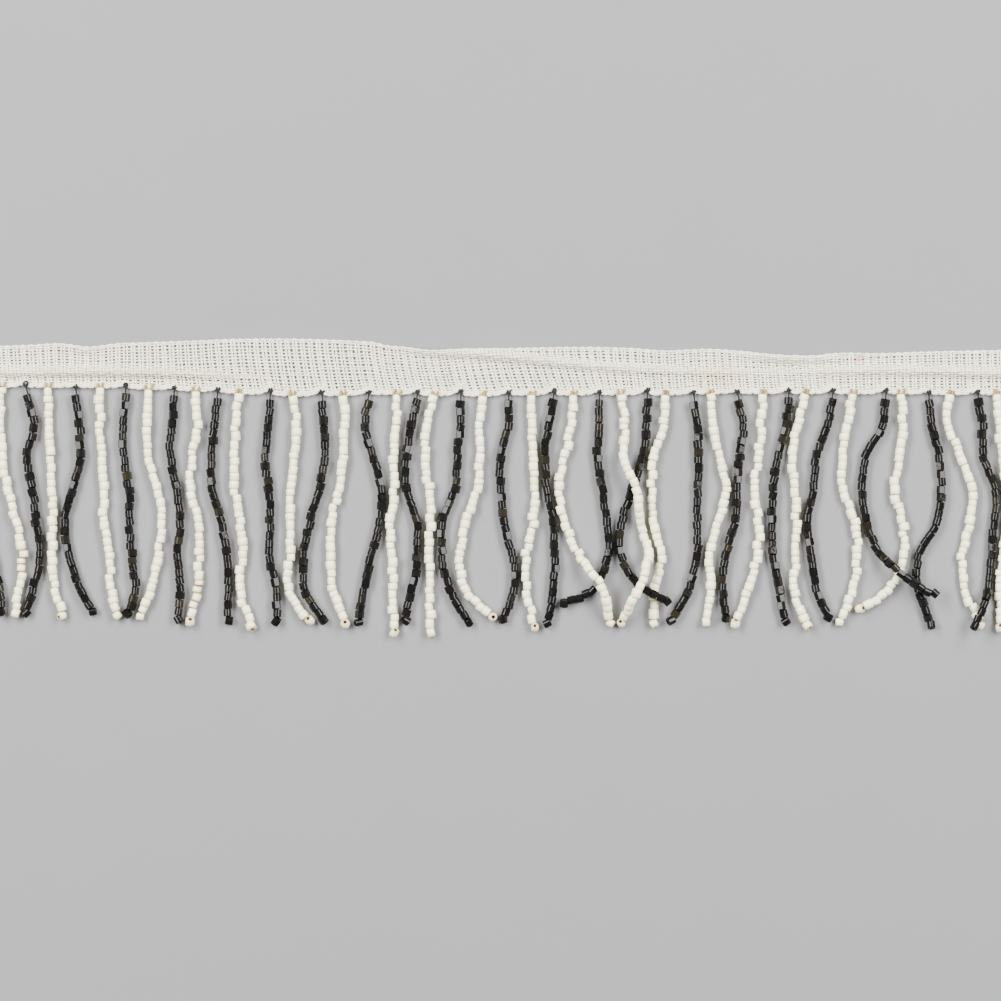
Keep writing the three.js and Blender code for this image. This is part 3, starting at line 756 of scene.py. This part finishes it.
class TRIM_OT_weave_tape(bpy.types.Operator):
    """Weaves the gauze tape from double wefts and single warps"""

    bl_idname = "trim.weave_tape"
    bl_label = "Weave Tape"

    def execute(self, context):
        sizes, colours = context.scene.trim_sizes, context.scene.trim_colours
        rng = np.random.default_rng(sizes.seed)
        lie = TapeLie()
        material = yarn_finish("gauze_cotton", colours.gauze, 0.45, 0.15, True)
        pitch, gap = sizes.weft_pitch / MM, sizes.pair_gap / MM
        ends = sizes.warp_ends
        pairs = int(2 * HALF_LENGTH / pitch)
        upper_x = (np.arange(pairs) - (pairs - 1) / 2) * pitch
        rows = np.concatenate([CLOSE_ROWS, np.linspace(*OPEN_WEAVE, ends), (TOP_ROW,)])
        is_open = (rows >= OPEN_WEAVE[0]) & (rows <= OPEN_WEAVE[1])
        row_wander = rng.normal(0, ROW_WANDER / ends, (len(rows), ROW_KNOTS)) * is_open[:, None]
        pick_wander = rng.normal(0, PICK_WANDER, (pairs, 2, PICK_KNOTS))

        def weft_x(pair, side, share):
            """Place along the tape of one weft of a pair, at shares of the tape's width."""
            start = upper_x[pair] + (side - 0.5) * gap
            lean = read_smooth(WEFT_LEAN, np.array([upper_x[pair]]))[0]
            low = np.clip(1 - np.asarray(share), 0, 1)
            wander = np.interp(share, np.linspace(0, 1, PICK_KNOTS), pick_wander[pair, side])
            return start + lean * (low ** 1.5 - 0.35) + wander

        def row_share(row, x):
            knots = np.linspace(-HALF_LENGTH, HALF_LENGTH, ROW_KNOTS)
            return rows[row] + np.interp(x, knots, row_wander[row])

        half_high = sizes.yarn_height / MM / 2
        weft_parts = self.wefts(sizes, lie, rng, pairs, weft_x, rows, half_high)
        warp_parts = self.warps(sizes, lie, rng, pairs, weft_x, rows, row_share, half_high)
        self.doubled_cloth(warp_parts)
        weft = weft_parts.build("gauze_weft", material)
        warp = warp_parts.build("gauze_warp", material)
        for piece in (weft, warp):
            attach(piece, "root")
        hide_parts("tape")
        return {"FINISHED"}

    def wefts(self, sizes, lie, rng, pairs, weft_x, rows, half_high):
        """One weft yarn to and fro across the tape, turning in small loops at both edges."""
        parts = MeshParts()
        count = 2 * len(rows) - 1
        share = np.interp(np.arange(count) / 2, np.arange(len(rows)), rows)
        wave = np.zeros(count)
        wave[::2] = np.where(np.arange(len(rows)) % 2 == 0, 1.0, -1.0)
        turn = np.linspace(0, np.pi, 7)[1:-1]
        half_wide = sizes.weft_width / MM / 2
        x, across, level, width, tint = [], [], [], [], []
        for pair in range(pairs):
            up_x = weft_x(pair, 0, share)
            down_x = weft_x(pair, 1, share[::-1])
            middle, reach = (up_x[-1] + down_x[0]) / 2, (down_x[0] - up_x[-1]) / 2
            sign = 1 if pair % 2 == 0 else -1
            flat = np.zeros(len(turn))
            x += [up_x[:1], up_x, middle - reach * np.cos(turn), down_x, down_x[-1:]]
            loop = rows[-1] + UPPER_TURN * np.sin(turn)
            across += [[LOWER_TURN], share, loop, share[::-1], [LOWER_TURN]]
            level += [[0], wave * sign, flat, wave[::-1] * sign, [0]]
            points = 2 * count + len(turn) + 2
            width.append(np.full(points, half_wide * rng.normal(1, 0.06)))
            tint.append(np.full(points, rng.normal(1, 0.03)))
        x, across, level, width, tint = (np.concatenate(part) for part in (x, across, level, width, tint))
        path, up = on_cloth(x, lie.drop(x, across), level * half_high)
        parts.tube(path, up, width * (1 + YARN_SWELL * level), half_high, tint)
        return parts

    def warps(self, sizes, lie, rng, pairs, weft_x, rows, row_share, half_high):
        """Warp yarns along the tape, over one pair of wefts and under the next."""
        parts = MeshParts()
        half_wide = sizes.warp_width / MM / 2
        for row, share in enumerate(rows):
            crossing = np.array([[weft_x(pair, side, share) for side in (0, 1)] for pair in range(pairs)])
            between = (crossing[:-1, 1] + crossing[1:, 0]) / 2
            stops = np.column_stack([crossing[:-1], between]).ravel()
            x = np.concatenate([[-HALF_LENGTH], stops, crossing[-1], [HALF_LENGTH]])
            sign = np.where((np.arange(pairs) + row) % 2 == 0, -1.0, 1.0)
            levels = np.column_stack([sign[:-1], sign[:-1], np.zeros(pairs - 1)]).ravel()
            level = np.concatenate([[0], levels, [sign[-1], sign[-1], 0]])
            order = np.argsort(x)
            x, level = np.clip(x[order], -HALF_LENGTH, HALF_LENGTH), level[order]
            if share < 0.5:
                roots = [strand[1] for strand in BLACK_STRANDS]
                finer = np.union1d(x, np.add.outer(roots, NOTCH_STATIONS).ravel())
                x, level = finer, np.interp(finer, x, level)
            path, up = on_cloth(x, lie.drop(x, row_share(row, x)), level * half_high)
            width = half_wide * rng.normal(1, 0.07) * (1 + YARN_SWELL * level)
            parts.tube(path, up, width, half_high, rng.normal(1, 0.025))
        return parts

    def doubled_cloth(self, parts):
        """The under layer of cloth that closes the weave's holes along each fold."""
        for fold in FOLDS:
            rows = np.array(fold)
            x = np.linspace(rows[0, 0], rows[-1, 0], int((rows[-1, 0] - rows[0, 0]) / 1.2))
            crest = np.interp(x, rows[:, 0], rows[:, 1])
            half = DOUBLED_SPREAD * np.interp(x, rows[:, 0], rows[:, 3])
            drop = crest[:, None] + half[:, None] * np.linspace(1, -1, 9)[None, :]
            drop = np.maximum(drop, upper_edge(x)[:, None] + 0.3)
            along = np.broadcast_to(x[:, None], drop.shape)
            parts.slab(*(on_cloth(along, drop, np.full(drop.shape, depth))[0] for depth in UNDER_LAYER))


class TRIM_OT_thread_white(bpy.types.Operator):
    """Threads the ivory beads and lays their strands"""

    bl_idname = "trim.thread_white"
    bl_label = "Thread White Beads"

    def execute(self, context):
        sizes, colours = context.scene.trim_sizes, context.scene.trim_colours
        rng = np.random.default_rng(sizes.seed + 1)
        pitch = sizes.white_pitch / MM
        across, hole = sizes.white_across / MM, sizes.hole / MM
        models = [
            model_bead(across, pitch, hole, corner=0.24, rim=0.22),
            model_bead(1.03 * across, pitch, hole, corner=0.0, rim=0.18),
        ]
        lay = {"pitch": pitch, "stop_room": 0.9, "length_spread": 0.14, "girth_spread": 0.045,
               "tilt": 0.06, "sway": 0.17, "gap": -0.05, "first_share": 0.55}

        def tint_of(places, chance):
            rust = np.zeros(len(places), bool)
            for x, drop, reach in RUSTED_BEADS:
                away = np.hypot(places[:, 0] - x, places[:, 1] - drop)
                rust = rust | (away < reach)
            tints = np.where(rust, -0.5 - 0.5 * chance, chance)
            tints[-1] = STOP_TINT
            return tints

        parts = MeshParts()
        for row, stop in zip(WHITE_STRANDS, STOP_BEADS):
            thread_beads(parts, row, models, lay, row[2] + 0.15, stop, rng, tint_of)
        beads = parts.build("white_beads", ivory_finish(colours.ivory))
        shade_beads(context, beads, crease=55)
        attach(beads, "root")
        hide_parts("white_fringe")
        return {"FINISHED"}


class TRIM_OT_thread_black(bpy.types.Operator):
    """Threads the black cut beads and lays their strands"""

    bl_idname = "trim.thread_black"
    bl_label = "Thread Black Beads"

    def execute(self, context):
        sizes, colours = context.scene.trim_sizes, context.scene.trim_colours
        rng = np.random.default_rng(sizes.seed + 2)
        pitch = sizes.black_pitch / MM
        across, hole = sizes.black_across / MM, sizes.hole / MM
        models = [
            model_bead(across, pitch, 0.8 * hole, corner=0.2, rim=0.12),
            model_bead(across, pitch, 0.8 * hole, corner=0.0, rim=0.1),
        ]
        lay = {"pitch": pitch, "stop_room": 0.8, "length_spread": 0.06, "girth_spread": 0.035,
               "tilt": 0.07, "sway": 0.12, "gap": 0.04, "first_share": 0.6}
        parts = MeshParts()
        for row in BLACK_STRANDS:
            start = row[2] + rng.uniform(1.5, 2.2)
            stop = (rng.uniform(0, 360), rng.uniform(0, 30))
            thread_beads(parts, row, models, lay, start, stop, rng, lambda places, chance: chance)
        beads = parts.build("black_beads", jet_finish(colours.jet))
        shade_beads(context, beads, crease=35)
        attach(beads, "root")
        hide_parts("black_fringe")
        return {"FINISHED"}


class TRIM_OT_sew_edge(bpy.types.Operator):
    """Runs the threads through the beads and sews the strands to the tape's lower edge"""

    bl_idname = "trim.sew_edge"
    bl_label = "Sew Edge"

    def execute(self, context):
        sizes, colours = context.scene.trim_sizes, context.scene.trim_colours
        rng = np.random.default_rng(sizes.seed + 3)
        half = sizes.thread / MM / 2
        cream, black = MeshParts(), MeshParts()
        up = np.array([0.0, 0.0, 1.0])
        strands = ((cream, WHITE_STRANDS, 0.1, half), (black, BLACK_STRANDS, 0.4, 1.4 * half))
        for parts, rows, start, thick in strands:
            for row in rows:
                line = strand_path(row, row[2] + start)[::THREAD_STRIDE]
                level = 1.0 - 0.35 * ease_from(np.arange(len(line)) / 3)
                points = np.column_stack([line[:, 0], EDGE_Y - line[:, 1], line[:, 2] + level])
                parts.tube(points, np.broadcast_to(up, points.shape), thick, thick)
        for row in WHITE_STRANDS:
            self.stitches(cream, row[1], row[2], half, rng)
        for row in BLACK_STRANDS:
            self.loops(black, row[1], row[2], half, rng, row[0] in RING_LOOPS)
        for name, parts, colour, sheen, slot in (
                ("cream_thread", cream, colours.cream, 0.1, "gauze"),
                ("black_thread", black, colours.black_thread, 0.0, "black_beads")):
            piece = parts.build(name, yarn_finish(name, colour, 0.5, sheen))
            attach(piece, "root")
        return {"FINISHED"}

    def over_edge(self, parts, x, drop, raised, half, tint=1.0):
        """A short thread through places on the cloth."""
        t = np.linspace(0, 1, len(x))
        fine = np.linspace(0, 1, 4 * len(x) + 1)
        tables = (np.column_stack([t, np.asarray(v, float)]) for v in (x, drop, raised))
        x, drop, raised = (read_smooth(rows, fine) for rows in tables)
        points, normal = on_cloth(x, drop, raised)
        parts.tube(points, normal, half, half, tint)

    def stitches(self, parts, root, edge, half, rng):
        """Slanting stitches that hold a white strand, each with a thinner, darker copy beside it as a
        painted shadow, and a short dark thread between them as painted shade.
        """
        for offset in (-0.66, 0.34):
            foot = root + offset + rng.normal(0, 0.08)
            slant = rng.normal(0.34, 0.16)
            reach = rng.uniform(0.6, 0.95)
            x = [foot, foot + 0.1 * slant, foot + 0.6 * slant, foot + slant, foot + 1.1 * slant]
            drop = [edge + 0.5, edge + 0.15, edge - 0.45 * reach, edge - reach, edge - reach - 0.15]
            self.over_edge(parts, x, drop, [0.3, 0.5, 0.5, 0.35, -0.2], half * 1.25,
                           rng.uniform(0.7, 1.1))
            # Painted shadow: a thinner, darker copy of the stitch, a little to its right and lower on the
            # cloth
            self.over_edge(parts, np.add(x, 0.3), np.add(drop, 0.1), [0.2, 0.4, 0.4, 0.3, -0.2], half,
                           rng.uniform(0.5, 0.9))
        # Painted shade: a short dark-tinted thread for the dark spot of shade at the first bead's top
        x = [root - 0.3, root - 0.12, root + 0.1, root + 0.25]
        drop = [edge - 0.1, edge + 0.1, edge + 0.12, edge - 0.05]
        self.over_edge(parts, x, drop, [0.2, 0.42, 0.42, 0.2], half, 0.25)

    def loops(self, parts, root, edge, half, rng, ring):
        """Black stitches over the edge above a black strand, some with a loop left standing."""
        join = edge + rng.uniform(0.5, 0.9)
        for side in (-1, 1):
            middle = root + side * rng.uniform(0.12, 0.28)
            tall = rng.uniform(0.0, 0.35)
            lean = rng.normal(0.04, 0.1)
            x = [root, root + 0.6 * (middle - root), middle,
                 middle + 0.6 * lean, middle + lean, middle + 1.1 * lean]
            drop = [join, (join + edge + 0.1) / 2, edge + 0.1,
                    edge - 0.6 * tall, edge - tall, edge - tall - 0.15]
            self.over_edge(parts, x, drop, [0.2, 0.25, 0.35, 0.4, 0.3, -0.25], half * 1.5)
        x = [root - 0.45, root - 0.2, root + 0.2, root + 0.45]
        drop = edge + rng.normal(0.15, 0.06, 4)
        self.over_edge(parts, x, drop, [0.1, 0.35, 0.35, 0.1], half * 1.5)
        if ring:
            wide, tall = rng.uniform(0.3, 0.45), rng.uniform(0.4, 0.7)
            x = [root - wide, root - wide, root, root + wide, root + wide]
            drop = [edge + 0.1, edge - 0.55 * tall, edge - tall, edge - 0.55 * tall, edge + 0.1]
            self.over_edge(parts, x, drop, [0.3, 0.5, 0.5, 0.5, 0.3], half * 1.1)


class TRIM_OT_set_stage(bpy.types.Operator):
    """Sets the floor, the two side lights with their fill, and the camera straight above"""

    bl_idname = "trim.set_stage"
    bl_label = "Set Stage"

    def execute(self, context):
        colours = context.scene.trim_colours
        middle_y = (EDGE_Y - VIEW_DROP) * MM
        bpy.ops.object.select_all(action="DESELECT")
        bpy.ops.mesh.primitive_plane_add(size=4)
        floor = context.object
        floor.name = "floor"
        finish = Finish("floor_paper", Roughness=0.8)
        grain = finish.noise(60.0, 2.0)
        paler = tuple(1.03 * c for c in colours.floor)
        finish.give("Base Color", finish.mix(grain, rgba(colours.floor), rgba(paler)))
        floor.data.materials.append(finish.material)

        for name, side, watts in (("left_box", -1, 22.5), ("right_box", 1, 20.5)):
            place = (side * BOX_SIDE, middle_y + BOX_BACK, BOX_HEIGHT)
            self.soft_box(name, place, (BOX_PITCH, side * BOX_ROLL, 0), BOX_SIZE, watts)
        self.soft_box("top_fill", (0, middle_y + 0.05, 1.3), (0, 0, 0), (1.2, 1.2), 1.3)
        world = bpy.data.worlds.new("studio")
        world.use_nodes = True
        background = world.node_tree.nodes["Background"]
        background.inputs["Color"].default_value = (0.9, 0.95, 1.0, 1.0)
        background.inputs["Strength"].default_value = 0.36
        context.scene.world = world

        lens = bpy.data.cameras.new("camera")
        lens.sensor_fit = "HORIZONTAL"
        lens.sensor_width = SENSOR
        lens.lens = SENSOR * (CAMERA_HEIGHT - MM) / (VIEW_PIXELS * PIXEL * MM)
        camera = bpy.data.objects.new("camera", lens)
        camera.location = (0, middle_y, CAMERA_HEIGHT)
        context.scene.collection.objects.link(camera)
        context.scene.camera = camera
        return {"FINISHED"}

    def soft_box(self, name, place, turn, size, watts):
        light = bpy.data.lights.new(name, "AREA")
        light.shape = "RECTANGLE"
        light.size, light.size_y = size
        light.energy = watts
        lamp = bpy.data.objects.new(name, light)
        lamp.location = place
        lamp.rotation_euler = turn
        bpy.context.scene.collection.objects.link(lamp)


class TRIM_PT_panel(bpy.types.Panel):
    bl_label = "Beaded Fringe Trim"
    bl_idname = "TRIM_PT_panel"
    bl_space_type = "VIEW_3D"
    bl_region_type = "UI"
    bl_category = "Trim"

    def draw(self, context):
        column = self.layout.column()
        for operator in OPERATORS:
            column.operator(operator.bl_idname)
        for group in (context.scene.trim_sizes, context.scene.trim_colours):
            for name in group.__annotations__:
                column.prop(group, name)


OPERATORS = (
    TRIM_OT_set_stage,
    TRIM_OT_weave_tape,
    TRIM_OT_thread_white,
    TRIM_OT_thread_black,
    TRIM_OT_sew_edge,
)
CLASSES = (TrimSizes, TrimColours, *OPERATORS, TRIM_PT_panel)


def register():
    for cls in CLASSES:
        bpy.utils.register_class(cls)
    bpy.types.Scene.trim_sizes = PointerProperty(type=TrimSizes)
    bpy.types.Scene.trim_colours = PointerProperty(type=TrimColours)


def unregister():
    del bpy.types.Scene.trim_sizes
    del bpy.types.Scene.trim_colours
    for cls in reversed(CLASSES):
        bpy.utils.unregister_class(cls)


def main():
    register()
    bpy.ops.trim.set_stage()
    bpy.ops.trim.weave_tape()
    bpy.ops.trim.thread_white()
    bpy.ops.trim.thread_black()
    bpy.ops.trim.sew_edge()


if __name__ == "__main__":
    main()
